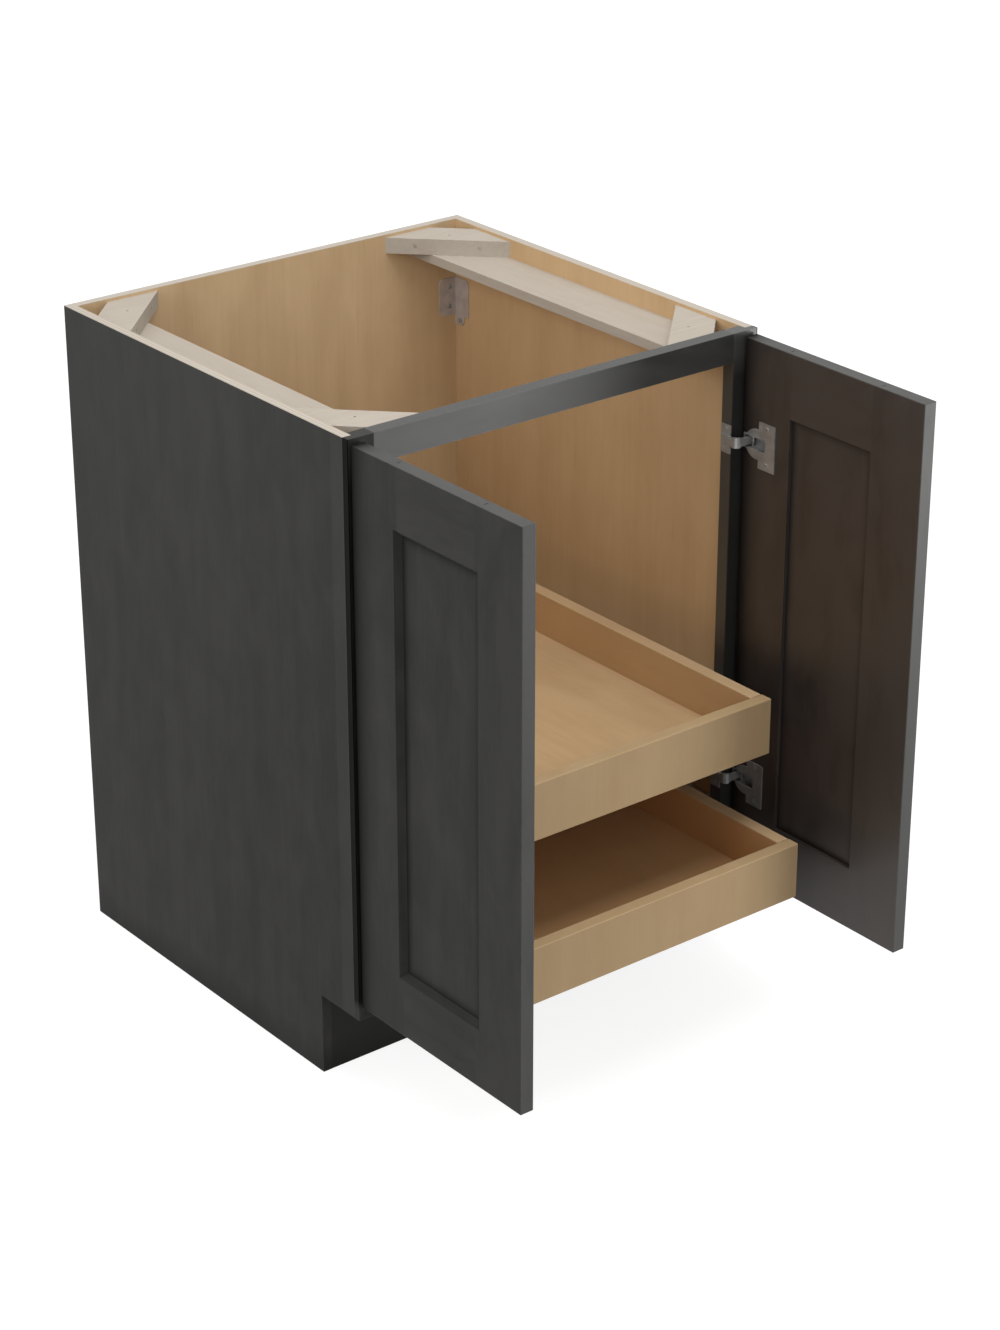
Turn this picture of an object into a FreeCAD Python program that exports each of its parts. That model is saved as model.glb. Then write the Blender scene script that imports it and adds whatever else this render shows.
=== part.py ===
import FreeCAD, Part

import math
import os

Vector = FreeCAD.Vector

# A face-frame base cabinet with two framed doors and two rollout trays, in millimetres.
# X runs to the right, Y to the back and Z up. The origin is on the floor, at mid-width,
# in the plane of the cabinet's back face. The doors stand open and the trays are pulled out.

# Carcase
cabinet_width = 630.0
cabinet_depth = 609.6
cabinet_height = 876.3
side_thickness = 12.7
back_thickness = 12.7
floor_thickness = 12.7
toe_height = 112.0
toe_depth = 79.0
toe_board_thickness = 12.7

# Face frame, whose stiles lap over the front edges of the sides
frame_thickness = 19.05
stile_width = 38.1
top_rail_width = 38.1
bottom_rail_width = 38.1
stile_lip = 9.5

# Bracing boards and corner blocks under the worktop
side_rail_width = 75.0
side_rail_thickness = 12.7
block_leg = 120.0
block_clip = 44.0
block_thickness = 22.0
block_drop = 4.0
worktop_hole_radius = 1.5
worktop_hole_inset = 45.0
nail_radius = 1.0
nail_head_radius = 2.4
nail_head_height = 1.2
nail_sink = 0.6
nail_length = 46.0
nail_spacing = 88.0

# Steel angle in each back corner
bracket_thickness = 1.5
bracket_width = 30.0
bracket_height = 54.0
bracket_tail = 14.0
bracket_tail_width = 20.0
bracket_clip = 5.0
bracket_drop = 82.0
bracket_screw_inset = 12.5
bracket_screw_end = 13.0

# Doors
door_thickness = 19.05
door_member_width = 85.0
door_panel_thickness = 6.0
door_front_recess = 8.0
door_bevel_width = 7.0
door_groove_depth = 9.0
door_groove_play = 1.0
door_side_reveal = 3.0
door_top_reveal = 6.5
door_bottom_reveal = 19.6
door_meeting_gap = 3.0
door_frame_gap = 4.0
door_hinge_edge_round = 3.0
door_edge_easing = 1.0
door_rest_angle = 90.0

# Hinges: a cup in the door, an arm on the frame and a pin between them
hinge_end_distance = 134.0
hinge_pin_inset = 10.0
hinge_pin_depth = 9.0
hinge_pin_radius = 1.4
hinge_pin_clearance = 0.3
hinge_arm_height = 14.0
hinge_arm_thickness = 4.0
hinge_knuckle_radius = 2.9
frame_plate_height = 38.0
frame_plate_depth = 18.0
frame_plate_thickness = 2.0
frame_plate_overlap = 13.0
cup_inset = 27.0
cup_radius = 17.5
cup_depth = 13.4
cup_wall = 0.9
cup_neck_height = 19.0
cup_neck_edge = 4.0
cup_rim_width = 2.5
cup_flange_thickness = 1.5
cup_flange_start = 31.0
cup_flange_width = 29.0
cup_flange_height = 62.0
cup_screw_end = 7.0
cup_pocket_clearance = 0.2

# Rollout trays
tray_side_gap = 34.9
tray_depth = 500.0
tray_height = 76.2
tray_wall = 18.0
tray_bottom_thickness = 9.0
tray_bottom_lift = 8.0
tray_groove_depth = 6.0
tray_edge_easing = 1.5
tray_back_clearance = 10.0
lower_tray_lift = 26.0
upper_tray_lift = 207.5
lower_tray_out = 186.0
upper_tray_out = 126.5

# Three-part slides on wooden cleats
runner_thickness = 12.7
runner_height = 35.0
runner_sheet = 1.2
runner_play = 0.4
runner_setback = 20.0
runner_back_gap = 30.0
runner_lift = 15.0
runner_lip = 2.4
middle_runner_web = 7.6
tray_runner_lip = 6.4
runner_screw_end = 65.0
cleat_margin = 2.0

# Screws
screw_head_radius = 3.5
screw_head_height = 1.8
screw_shank_radius = 1.75
screw_length = 11.0
screw_clearance = 0.15

# Planes that several pieces share
half_width = cabinet_width / 2
inner_half = half_width - side_thickness
opening_half = half_width - stile_width
front = -cabinet_depth
frame_back = front + frame_thickness
side_front = front + stile_lip
back_inside = -back_thickness
floor_top = toe_height + bottom_rail_width
floor_underside = floor_top - floor_thickness
toe_front = front + toe_depth
block_top = cabinet_height - block_drop
block_underside = block_top - block_thickness
rail_underside = block_underside - side_rail_thickness

# Door planes, for the right door while it is closed
door_edge = half_width - door_side_reveal
door_meeting_edge = door_meeting_gap / 2
door_inner = front - door_frame_gap
door_outer = door_inner - door_thickness
door_top = cabinet_height - door_top_reveal
door_bottom = toe_height + door_bottom_reveal
panel_front = door_outer + door_front_recess
panel_back = panel_front + door_panel_thickness
pin_x = door_edge - hinge_pin_inset
pin_y = door_inner - hinge_pin_depth
hinge_heights = (door_bottom + hinge_end_distance, door_top - hinge_end_distance)

# Tray planes
tray_half = opening_half - tray_side_gap
tray_closed_front = back_inside - tray_back_clearance - tray_depth
cleat_face = tray_half + runner_thickness
runner_length = tray_depth - runner_setback - runner_back_gap

# How near two measurements must be to count as the same
same = 0.01


def board(x0, x1, y0, y1, z0, z1):
    return Part.makeBox(x1 - x0, y1 - y0, z1 - z0, Vector(x0, y0, z0))


def prism(points, direction):
    """A solid swept from a flat outline of corner points along a direction."""
    corners = [Vector(*point) for point in points]
    return Part.Face(Part.makePolygon(corners + corners[:1])).extrude(Vector(*direction))


def mirrored(shape):
    return shape.mirror(Vector(0, 0, 0), Vector(1, 0, 0))


def joined(first, *others):
    return first.fuse(list(others)).removeSplitter()


def screw(seat, direction):
    """A pan-head screw driven along direction, its head standing on seat."""
    along = Vector(*direction)
    point = Vector(*seat)
    head = Part.makeCylinder(screw_head_radius, screw_head_height, point - along * screw_head_height, along)
    shank = Part.makeCylinder(screw_shank_radius, screw_length, point, along)
    return joined(head, shank)


def screw_hole(seat, direction):
    along = Vector(*direction)
    radius = screw_shank_radius + screw_clearance
    return Part.makeCylinder(radius, screw_length + screw_clearance, Vector(*seat), along)


# Carcase panels


def side_panel():
    outline = [
        (inner_half, 0, 0),
        (inner_half, 0, cabinet_height),
        (inner_half, side_front, cabinet_height),
        (inner_half, side_front, toe_height),
        (inner_half, toe_front, toe_height),
        (inner_half, toe_front, 0),
    ]
    return prism(outline, (side_thickness, 0, 0))


def back_panel():
    return board(-inner_half, inner_half, back_inside, 0, 0, cabinet_height)


def floor_panel():
    return board(-inner_half, inner_half, frame_back, back_inside, floor_underside, floor_top)


def toe_board():
    return board(-inner_half, inner_half, toe_front, toe_front + toe_board_thickness, 0, floor_underside)


# Face frame


def stile():
    whole = board(opening_half, half_width, front, frame_back, toe_height, cabinet_height)
    rabbet = board(inner_half, half_width, side_front, frame_back, toe_height, cabinet_height)
    return whole.cut(rabbet)


def frame_rail(z0, z1):
    return board(-opening_half, opening_half, front, frame_back, z0, z1)


# Bracing under the worktop


def side_rail():
    edge = inner_half - side_rail_width
    return board(edge, inner_half, frame_back, back_inside, rail_underside, block_underside)


def corner_block(wall_y, inward):
    """The right block against the side and the wall at wall_y; inward is +1 or -1 along Y."""
    corners = [(block_leg, 0), (block_clip, 0), (0, block_clip), (0, block_leg)]
    outline = [(inner_half - across, wall_y + inward * along, block_underside) for across, along in corners]
    return prism(outline, (0, 0, block_thickness))


def worktop_hole(wall_y, inward):
    x = inner_half - worktop_hole_inset
    y = wall_y + inward * worktop_hole_inset
    height = block_thickness + side_rail_thickness
    return Part.makeCylinder(worktop_hole_radius, height, Vector(x, y, rail_underside))


def block_nails(wall_y, inward, head_start, grow):
    """Two nails square to the block's long face, their heads starting head_start below it, grown by grow."""
    diagonal = 1 / math.sqrt(2)
    middle_z = block_underside + block_thickness / 2
    middle = Vector(inner_half - block_leg / 2, wall_y + inward * block_leg / 2, middle_z)
    along_face = Vector(diagonal, inward * diagonal, 0)
    into_corner = Vector(diagonal, -inward * diagonal, 0)
    head_end = nail_sink + nail_head_height
    nails = []
    for offset in (-nail_spacing / 2, nail_spacing / 2):
        face = middle + along_face * offset
        head_base = face + into_corner * head_start
        head = Part.makeCylinder(nail_head_radius + grow, head_end - head_start, head_base, into_corner)
        shank_base = face + into_corner * nail_sink
        shank = Part.makeCylinder(nail_radius + grow, nail_length + grow, shank_base, into_corner)
        nails.append(joined(head, shank))
    return nails


def corner_bracket():
    """Two leaves with clipped corners; the one on the side panel has a tail below."""
    top = cabinet_height - bracket_drop
    bottom = top - bracket_height
    clip = bracket_clip
    edge = inner_half - bracket_width
    back_corners = [
        (inner_half, bottom),
        (inner_half, top),
        (edge + clip, top),
        (edge, top - clip),
        (edge, bottom + clip),
        (edge + clip, bottom),
    ]
    back_leaf = prism([(x, back_inside, z) for x, z in back_corners], (0, -bracket_thickness, 0))
    leaf_front = back_inside - bracket_width
    tail_front = back_inside - bracket_tail_width
    tail_end = bottom - bracket_tail
    side_corners = [
        (back_inside, tail_end),
        (back_inside, top),
        (leaf_front + clip, top),
        (leaf_front, top - clip),
        (leaf_front, bottom),
        (tail_front, bottom),
        (tail_front, tail_end + clip),
        (tail_front + clip, tail_end),
    ]
    side_leaf = prism([(inner_half, y, z) for y, z in side_corners], (-bracket_thickness, 0, 0))
    return joined(back_leaf, side_leaf)


def bracket_screw_seats():
    """Seat and driving direction of each screw in the right bracket."""
    top = cabinet_height - bracket_drop
    bottom = top - bracket_height
    back_seat_y = back_inside - bracket_thickness
    x = inner_half - bracket_screw_inset
    side_seat = (inner_half - bracket_thickness, back_inside - bracket_screw_inset, bottom - bracket_tail / 2)
    return [
        ((x, back_seat_y, top - bracket_screw_end), (0, 1, 0)),
        ((x, back_seat_y, bottom + bracket_screw_end), (0, 1, 0)),
        (side_seat, (1, 0, 0)),
    ]


# Doors, drawn closed on the right and then turned open about the hinge pin


def opened(shape):
    turned = shape.copy()
    turned.rotate(Vector(pin_x, pin_y, 0), Vector(0, 0, 1), door_rest_angle)
    return turned


def rectangle(x0, x1, z0, z1, y):
    corners = [Vector(x0, y, z0), Vector(x1, y, z0), Vector(x1, y, z1), Vector(x0, y, z1)]
    return Part.makePolygon(corners + corners[:1])


def door_bevel():
    """The tapered space in front of the panel, which leaves a sloping edge all round it."""
    x0 = door_meeting_edge + door_member_width
    x1 = door_edge - door_member_width
    z0 = door_bottom + door_member_width
    z1 = door_top - door_member_width
    w = door_bevel_width
    wide = rectangle(x0 - w, x1 + w, z0 - w, z1 + w, door_outer)
    narrow = rectangle(x0, x1, z0, z1, panel_front)
    return Part.makeLoft([narrow, wide], True, True)


def door_panel():
    reach = door_member_width - door_groove_depth + door_groove_play
    x0 = door_meeting_edge + reach
    x1 = door_edge - reach
    return board(x0, x1, panel_front, panel_back, door_bottom + reach, door_top - reach)


def door_groove():
    """The slot round the inside of the door frame for the panel and the rails' tongues."""
    reach = door_member_width - door_groove_depth
    x0 = door_meeting_edge + reach
    x1 = door_edge - reach
    return board(x0, x1, panel_front, panel_back, door_bottom, door_top)


def runs_up_inner_hinge_edge(edge):
    middle = edge.BoundBox.Center
    return middle.isEqual(Vector(door_edge, door_inner, (door_bottom + door_top) / 2), same)


def door_blank():
    """The outside of the whole door: its edges eased, and rounder where it swings past the frame."""
    whole = board(door_meeting_edge, door_edge, door_outer, door_inner, door_bottom, door_top)
    rounded = whole.makeFillet(door_hinge_edge_round, [e for e in whole.Edges if runs_up_inner_hinge_edge(e)])
    return rounded.common(whole.makeFillet(door_edge_easing, whole.Edges))


def door_stile(x0, x1):
    whole = board(x0, x1, door_outer, door_inner, door_bottom, door_top)
    return whole.common(door_blank()).cut([door_groove(), door_bevel()])


def hinge_stile():
    whole = door_stile(door_edge - door_member_width, door_edge)
    return whole.cut([cup_pocket(height) for height in hinge_heights])


def door_rail(z0, z1, panel_edge, groove_sign):
    """A rail with a tongue at each end and the panel groove in its inner edge."""
    x0 = door_meeting_edge + door_member_width
    x1 = door_edge - door_member_width
    tongue = door_groove_depth - door_groove_play
    body = board(x0, x1, door_outer, door_inner, z0, z1)
    tongues = board(x0 - tongue, x1 + tongue, panel_front, panel_back, z0, z1)
    groove_end = panel_edge + groove_sign * door_groove_depth
    groove_span = sorted((panel_edge, groove_end))
    groove = board(x0 - tongue, x1 + tongue, panel_front, panel_back, groove_span[0], groove_span[1])
    return joined(body, tongues).common(door_blank()).cut([groove, door_bevel()])


def top_door_rail():
    inner = door_top - door_member_width
    return door_rail(inner, door_top, inner, 1)


def bottom_door_rail():
    inner = door_bottom + door_member_width
    return door_rail(door_bottom, inner, inner, -1)


# Hinges


def cup_shape(height, inset, y0, y1):
    """The cup's outline, a disc with a square neck towards the door's edge, from y0 to y1."""
    length = y1 - y0
    disc_base = Vector(door_edge - cup_inset, y0, height)
    disc = Part.makeCylinder(cup_radius - inset, length, disc_base, Vector(0, 1, 0))
    half_neck = cup_neck_height / 2 - inset
    neck_end = door_edge - cup_neck_edge - inset
    neck = board(door_edge - cup_inset, neck_end, y0, y1, height - half_neck, height + half_neck)
    return joined(disc, neck)


def cup_pocket(height):
    return cup_shape(height, -cup_pocket_clearance, door_inner - cup_depth - cup_pocket_clearance, door_inner)


def hinge_cup(height):
    face = door_inner + cup_flange_thickness
    bowl = cup_shape(height, 0, door_inner - cup_depth, face)
    rim_base = Vector(door_edge - cup_inset, door_inner, height)
    rim = Part.makeCylinder(cup_radius + cup_rim_width, cup_flange_thickness, rim_base, Vector(0, 1, 0))
    x1 = door_edge - cup_flange_start
    x0 = x1 - cup_flange_width
    half_flange = cup_flange_height / 2
    flange = board(x0, x1, door_inner, face, height - half_flange, height + half_flange)
    hollow = cup_shape(height, cup_wall, door_inner - cup_depth + cup_wall, face)
    return joined(bowl, rim, flange).cut(hollow).cut(hinge_pin(height, hinge_pin_clearance))


def cup_screw_seats():
    x = door_edge - cup_flange_start - cup_flange_width / 2
    seats = []
    for height in hinge_heights:
        for sign in (-1, 1):
            z = height + sign * (cup_flange_height / 2 - cup_screw_end)
            seats.append(((x, door_inner + cup_flange_thickness, z), (0, -1, 0)))
    return seats


def hinge_pin(height, grow=0.0):
    base = Vector(pin_x, pin_y, height - cup_neck_height / 2)
    return Part.makeCylinder(hinge_pin_radius + grow, cup_neck_height, base)


def hinge_arm(height):
    """A plate on the stile's inner edge, whose arm reaches round into the cup and ends in a knuckle."""
    half_plate = frame_plate_height / 2
    half_arm = hinge_arm_height / 2
    half_strap = hinge_arm_thickness / 2
    plate_face = opening_half - frame_plate_thickness
    plate_end = front + frame_plate_depth
    plate = board(plate_face, opening_half, front, plate_end, height - half_plate, height + half_plate)
    strap_side = plate_face - hinge_arm_thickness
    strap_front = pin_y - half_strap
    strap_back = front + frame_plate_overlap
    lead = board(strap_side, plate_face, strap_front, strap_back, height - half_arm, height + half_arm)
    reach = board(strap_side, pin_x, strap_front, pin_y + half_strap, height - half_arm, height + half_arm)
    knuckle_base = Vector(pin_x, pin_y, height - half_arm)
    knuckle = Part.makeCylinder(hinge_knuckle_radius, hinge_arm_height, knuckle_base)
    bore = Part.makeCylinder(hinge_pin_radius + hinge_pin_clearance, hinge_arm_height, knuckle_base)
    return joined(plate, lead, reach, knuckle).cut(bore)


def arm_screw_seats():
    y = front + frame_plate_depth / 2
    x = opening_half - frame_plate_thickness
    offset = (frame_plate_height / 2 + hinge_arm_height / 2) / 2
    return [((x, y, height + sign * offset), (1, 0, 0)) for height in hinge_heights for sign in (-1, 1)]


# Trays, drawn where they stand pulled out


def tray_base(lift):
    return floor_top + lift


def tray_front_face(out):
    return front - out


def tray_floor(lift, out):
    reach = tray_wall - tray_groove_depth
    x = tray_half - reach
    y0 = tray_front_face(out) + reach
    y1 = tray_front_face(out) + tray_depth - reach
    z0 = tray_base(lift) + tray_bottom_lift
    return board(-x, x, y0, y1, z0, z0 + tray_bottom_thickness)


def eased_top(wall):
    """A tray wall with the two long edges along its top rounded over."""
    top = wall.BoundBox.ZMax
    long_edges = [e for e in wall.Edges if e.BoundBox.ZMin > top - same and e.Length > 2 * tray_wall]
    return wall.makeFillet(tray_edge_easing, long_edges)


def tray_end(lift, y0, out):
    z0 = tray_base(lift)
    whole = board(-tray_half, tray_half, y0, y0 + tray_wall, z0, z0 + tray_height)
    return eased_top(whole).cut(tray_floor(lift, out))


def tray_side(lift, out):
    z0 = tray_base(lift)
    y0 = tray_front_face(out) + tray_wall
    y1 = tray_front_face(out) + tray_depth - tray_wall
    whole = board(tray_half - tray_wall, tray_half, y0, y1, z0, z0 + tray_height)
    return eased_top(whole).cut(tray_floor(lift, out))


# Slides


def channel(x_web, x_lip, half_height, y0, lift):
    """A right-hand steel channel: a web from x_web, and two flanges that reach to x_lip."""
    middle = tray_base(lift) + runner_lift
    y1 = y0 + runner_length
    web_far = x_web + runner_sheet
    low = min(x_web, x_lip)
    high = max(web_far, x_lip)
    whole = board(low, high, y0, y1, middle - half_height, middle + half_height)
    clear = half_height - runner_sheet
    hollow_low = web_far if x_lip > x_web else low
    hollow_high = high if x_lip > x_web else x_web
    hollow = board(hollow_low, hollow_high, y0, y1, middle - clear, middle + clear)
    return whole.cut(hollow)


def runner_half_height(depth_in):
    """Half the height of a slide member that lies depth_in members inside the outer one."""
    return runner_height / 2 - depth_in * (runner_sheet + runner_play)


def runner_start(travel):
    return tray_closed_front + runner_setback - travel


def tray_travel(out):
    """How far the pulled-out tray stands from its closed place."""
    return tray_closed_front - tray_front_face(out)


def cabinet_runner(lift):
    web = cleat_face - runner_sheet
    return channel(web, tray_half + runner_lip, runner_half_height(0), runner_start(0), lift)


def middle_runner(lift, out):
    web = tray_half + middle_runner_web
    start = runner_start(tray_travel(out) / 2)
    return channel(web, tray_half + runner_lip, runner_half_height(1), start, lift)


def tray_runner(lift, out):
    lip = tray_half + tray_runner_lip
    return channel(tray_half, lip, runner_half_height(2), runner_start(tray_travel(out)), lift)


def runner_cleat(lift):
    middle = tray_base(lift) + runner_lift
    half = runner_height / 2 + cleat_margin
    return board(cleat_face, inner_half, frame_back, back_inside, middle - half, middle + half)


def runner_screw_ends(start):
    return [start + runner_screw_end, start + runner_length - runner_screw_end]


def cabinet_runner_seats(lift):
    middle = tray_base(lift) + runner_lift
    x = cleat_face - runner_sheet
    return [((x, y, middle), (1, 0, 0)) for y in runner_screw_ends(runner_start(0))]


def tray_runner_seats(lift, out):
    middle = tray_base(lift) + runner_lift
    x = tray_half + runner_sheet
    return [((x, y, middle), (-1, 0, 0)) for y in runner_screw_ends(runner_start(tray_travel(out)))]


# Put the pieces together, node by node

nodes = {}


def add_pair(name, shape):
    """A piece of the right-hand half and its mirror image, as two nodes."""
    nodes["right_" + name] = shape
    nodes["left_" + name] = mirrored(shape)


def add_group(name, shapes):
    nodes[name] = Part.makeCompound(shapes)


def both_sides(shapes):
    return list(shapes) + [mirrored(shape) for shape in shapes]


def drill(shape, seats):
    return shape.cut([screw_hole(seat, direction) for seat, direction in seats])


def screws_at(seats):
    return [screw(seat, direction) for seat, direction in seats]


block_places = {"front": (frame_back, 1), "back": (back_inside, -1)}
bracket_seats = bracket_screw_seats()
arm_seats = arm_screw_seats()
cup_seats = cup_screw_seats()
tray_places = {"lower": (lower_tray_lift, lower_tray_out), "upper": (upper_tray_lift, upper_tray_out)}

nail_holes = []
for wall_y, inward in block_places.values():
    nail_holes += both_sides(block_nails(wall_y, inward, 0, screw_clearance))
bracket_holes = [screw_hole(seat, direction) for seat, direction in bracket_seats]

add_pair("side_panel", side_panel().cut(nail_holes + bracket_holes))
nodes["back_panel"] = back_panel().cut(nail_holes + both_sides(bracket_holes))
nodes["floor_panel"] = floor_panel()
nodes["toe_board"] = toe_board()
add_pair("stile", drill(stile(), arm_seats))
nodes["top_rail"] = frame_rail(cabinet_height - top_rail_width, cabinet_height).cut(nail_holes)
nodes["bottom_rail"] = frame_rail(toe_height, floor_top)

worktop_holes = [worktop_hole(wall_y, inward) for wall_y, inward in block_places.values()]
add_pair("side_rail", side_rail().cut(worktop_holes))
nails = []
for place, (wall_y, inward) in block_places.items():
    add_pair(place + "_block", corner_block(wall_y, inward).cut(worktop_holes + nail_holes))
    nails += both_sides(block_nails(wall_y, inward, nail_sink, 0))
add_group("block_nails", nails)
add_group("corner_brackets", both_sides([drill(corner_bracket(), bracket_seats)]))
add_group("bracket_screws", both_sides(screws_at(bracket_seats)))

arms = drill(Part.makeCompound([hinge_arm(height) for height in hinge_heights]), arm_seats)
add_pair("hinge_arms", arms)
add_group("hinge_arm_screws", both_sides(screws_at(arm_seats)))

add_pair("door_hinge_stile", opened(drill(hinge_stile(), cup_seats)))
add_pair("door_meeting_stile", opened(door_stile(door_meeting_edge, door_meeting_edge + door_member_width)))
add_pair("door_top_rail", opened(top_door_rail()))
add_pair("door_bottom_rail", opened(bottom_door_rail()))
add_pair("door_panel", opened(door_panel()))
cups = drill(Part.makeCompound([hinge_cup(height) for height in hinge_heights]), cup_seats)
add_pair("hinge_cups", opened(cups))
add_pair("hinge_pins", opened(Part.makeCompound([hinge_pin(height) for height in hinge_heights])))
add_pair("cup_screws", opened(Part.makeCompound(screws_at(cup_seats))))

cabinet_runner_screws = []
for level, (lift, out) in tray_places.items():
    tray_seats = tray_runner_seats(lift, out)
    cabinet_seats = cabinet_runner_seats(lift)
    tray = level + "_tray"
    back_face = tray_front_face(out) + tray_depth
    nodes[tray + "_front"] = tray_end(lift, tray_front_face(out), out)
    nodes[tray + "_back"] = tray_end(lift, back_face - tray_wall, out)
    right_side = drill(tray_side(lift, out), tray_seats)
    nodes[tray + "_right_side"] = right_side
    nodes[tray + "_left_side"] = mirrored(right_side)
    nodes[tray + "_bottom"] = tray_floor(lift, out)
    add_group(tray + "_runners", both_sides([drill(tray_runner(lift, out), tray_seats)]))
    add_group(tray + "_screws", both_sides(screws_at(tray_seats)))
    add_group(level + "_middle_runners", both_sides([middle_runner(lift, out)]))
    add_group(level + "_cabinet_runners", both_sides([drill(cabinet_runner(lift), cabinet_seats)]))
    add_group(level + "_runner_cleats", both_sides([drill(runner_cleat(lift), cabinet_seats)]))
    cabinet_runner_screws += screws_at(cabinet_seats)
add_group("runner_screws", both_sides(cabinet_runner_screws))

os.makedirs("parts", exist_ok=True)
for name, shape in nodes.items():
    solids = shape.Solids
    whole = solids[0] if len(solids) == 1 else Part.makeCompound(solids)
    whole.exportStep(os.path.join("parts", name + ".step"))
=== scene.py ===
import math

import bmesh
import bpy
from mathutils import Matrix, Vector


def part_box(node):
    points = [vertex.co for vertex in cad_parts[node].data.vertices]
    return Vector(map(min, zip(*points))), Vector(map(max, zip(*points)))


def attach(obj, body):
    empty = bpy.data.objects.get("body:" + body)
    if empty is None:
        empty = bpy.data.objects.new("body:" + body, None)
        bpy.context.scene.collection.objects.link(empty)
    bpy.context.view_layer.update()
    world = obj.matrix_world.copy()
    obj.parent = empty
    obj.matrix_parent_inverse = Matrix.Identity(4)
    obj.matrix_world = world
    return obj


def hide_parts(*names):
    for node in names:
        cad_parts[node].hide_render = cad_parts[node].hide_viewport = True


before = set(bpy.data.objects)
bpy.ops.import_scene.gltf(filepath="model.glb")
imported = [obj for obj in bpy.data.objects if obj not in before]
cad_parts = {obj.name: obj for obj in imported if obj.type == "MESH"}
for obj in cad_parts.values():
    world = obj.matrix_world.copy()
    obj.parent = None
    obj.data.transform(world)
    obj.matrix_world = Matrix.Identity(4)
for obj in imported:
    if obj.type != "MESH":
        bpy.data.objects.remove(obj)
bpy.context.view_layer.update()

# Side panels
# Each side is a sheet of plywood cut with a notch for the toes. Its outer face is stained
# charcoal, made paler towards the top by painted light and darker at the floor by painted shade; its inner
# face is clear maple veneer, and its top and back edges show the bare plies.

charcoal_dark = (0.0180, 0.0179, 0.0160, 1)
charcoal_light = (0.0345, 0.0338, 0.0305, 1)
charcoal_pale = (0.085, 0.085, 0.081, 1)
# Near black, used only for painted shade
shade_black = (0.004, 0.004, 0.0036, 1)
maple_dark = (0.495, 0.338, 0.186, 1)
maple_light = (0.655, 0.478, 0.285, 1)
maple_fleck = (0.36, 0.22, 0.11, 1)
maple_amber = (0.60, 0.36, 0.165, 1)
ply_pale = (0.515, 0.475, 0.415, 1)
ply_brown = (0.42, 0.365, 0.305, 1)
veneer_depth = 0.0002
# Painted shade darkening stained boards towards the floor
contact_shade_height = 0.045
contact_shade_share = 0.75
contact_shade_raggedness = 0.012
contact_shade_noise_scale = 14.0
flush_strip = 0.024
planed_share = 0.12
ply_thickness = 0.00254
ply_roughness = 0.75
ply_speckle_scale = 420.0
ply_brown_span = (0.2, 1.3)
glue_line = (0.42, 0.58)
noise_span = (0.3, 0.7)
stain_span = (0.385, 0.615)
stain_roughness = (0.39, 0.47)
stain_pores = 0.20
maple_span = (0.27, 0.73)
maple_roughness = (0.42, 0.54)
maple_pores = 0.16
# Painted highlight along the outer edges of stained boards
edge_light_width = 0.0018
edge_light_share = 0.35
bump_strength = 0.35
sharp_edge = math.radians(40)
weld_gap = 0.00001


def put(tree, kind, inputs=None, **settings):
    """Adds a node, sets its properties, and sets or links its inputs, which are named or numbered."""
    made = tree.nodes.new(kind)
    for name, value in settings.items():
        setattr(made, name, value)
    for key, value in (inputs or {}).items():
        socket = made.inputs[key]
        if isinstance(key, str):
            socket = next(one for one in made.inputs if one.name == key and one.enabled)
        if isinstance(value, bpy.types.NodeSocket):
            tree.links.new(value, socket)
        else:
            socket.default_value = value
    return made


def result(tree, kind, inputs=None, **settings):
    """Adds a node and gives its first output in use."""
    return next(one for one in put(tree, kind, inputs, **settings).outputs if one.enabled)


def maths(tree, operation, first, second=0.0):
    return result(tree, "ShaderNodeMath", {0: first, 1: second}, operation=operation)


def vector_maths(tree, operation, first, second=(0, 0, 0)):
    return result(tree, "ShaderNodeVectorMath", {0: first, 1: second}, operation=operation)


def spread(tree, value, low, high, to_low=0.0, to_high=1.0):
    """Maps a value from one range to another, held at the ends."""
    inputs = {"Value": value, "From Min": low, "From Max": high, "To Min": to_low, "To Max": to_high}
    return result(tree, "ShaderNodeMapRange", inputs, clamp=True)


def blend(tree, share, first, second, way="MIX"):
    inputs = {"Factor": share, "A": first, "B": second}
    return result(tree, "ShaderNodeMix", inputs, data_type="RGBA", blend_type=way)


def noise(tree, vector, scale, detail=3.0, roughness=0.5, distortion=0.0):
    inputs = {"Vector": vector, "Scale": scale, "Detail": detail, "Roughness": roughness}
    inputs["Distortion"] = distortion
    return result(tree, "ShaderNodeTexNoise", inputs)


def weighted(tree, *pairs):
    """The sum of some values, each times its weight."""
    total = 0.0
    for value, weight in pairs:
        total = maths(tree, "ADD", maths(tree, "MULTIPLY", value, weight), total)
    return total


def new_group(name, inputs, outputs):
    """An empty shader group with named sockets: the tree, its given values and its results."""
    tree = bpy.data.node_groups.new(name, "ShaderNodeTree")
    for label, kind, value in inputs:
        socket = tree.interface.new_socket(label, in_out="INPUT", socket_type=kind)
        socket.default_value = value
    for label in outputs:
        tree.interface.new_socket(label, in_out="OUTPUT", socket_type="NodeSocketFloat")
    return tree, tree.nodes.new("NodeGroupInput").outputs, tree.nodes.new("NodeGroupOutput").inputs


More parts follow.
